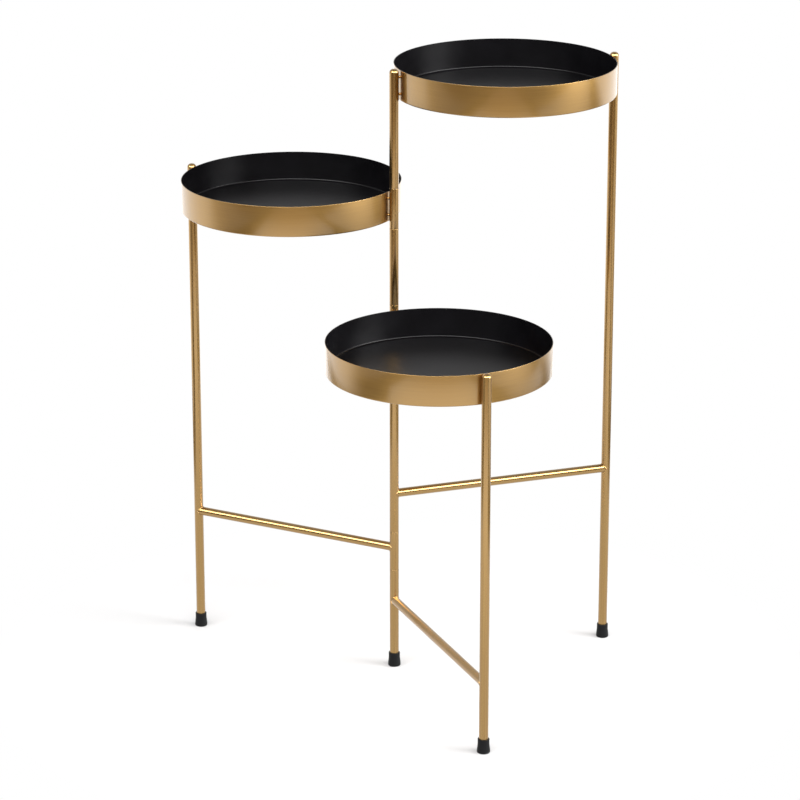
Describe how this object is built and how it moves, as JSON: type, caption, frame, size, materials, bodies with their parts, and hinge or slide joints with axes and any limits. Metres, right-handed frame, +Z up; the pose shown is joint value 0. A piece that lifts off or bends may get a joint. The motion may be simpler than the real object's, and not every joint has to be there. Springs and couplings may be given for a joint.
{
  "type": "tiered plant stand",
  "caption": "Folding tiered plant stand: shallow round trays with dark insides, held between upright brass tubes on leaves that swing like gates about one post, on rubber feet.",
  "frame": {"origin": "middle of the centre foot's base, on the floor under the common post", "axes": "+Z up along the post; +X to the right and +Y away from the camera as pictured; the leaves stand open as pictured"},
  "size_m": [0.5173, 0.4561, 0.74],
  "materials": {
    "satin_brass": "satin, brushed along the tube, lightly lacquered",
    "enamelled_brass_sheet": "satin brass outside, gloss black enamel inside and over the rim",
    "black_rubber": "matt moulded",
    "bare_steel": "drawn, bare"
  },
  "bodies": {
    "tall_leaf": {"tall_tray": "enamelled_brass_sheet", "tall_tray_studs": "satin_brass", "tall_leg_tube": "satin_brass", "tall_leg_foot": "black_rubber", "tall_cross_bar": "satin_brass", "tall_upper_post_tube": "satin_brass", "post_spacer_tube": "satin_brass", "tall_lower_post_tube": "satin_brass", "pivot_rod": "bare_steel"},
    "mid_leaf": {"mid_tray": "enamelled_brass_sheet", "mid_tray_studs": "satin_brass", "mid_leg_tube": "satin_brass", "mid_leg_foot": "black_rubber", "mid_cross_bar": "satin_brass", "mid_upper_sleeve": "satin_brass", "mid_lower_sleeve": "satin_brass"},
    "low_leaf": {"low_tray": "enamelled_brass_sheet", "low_tray_studs": "satin_brass", "low_leg_tube": "satin_brass", "low_leg_foot": "black_rubber", "low_cross_bar": "satin_brass", "low_upper_sleeve": "satin_brass", "low_lower_post_tube": "satin_brass", "post_end_plug": "bare_steel", "centre_foot": "black_rubber"}
  },
  "joints": [
    {"name": "mid_leaf_hinge", "type": "hinge", "parent": "tall_leaf", "child": "mid_leaf", "pos_m": [0, 0, 0], "axis": [0, 0, 1], "range_deg": [-129, 47]},
    {"name": "low_leaf_hinge", "type": "hinge", "parent": "tall_leaf", "child": "low_leaf", "pos_m": [0, 0, 0], "axis": [0, 0, 1], "range_deg": [-88, 83]}
  ]
}
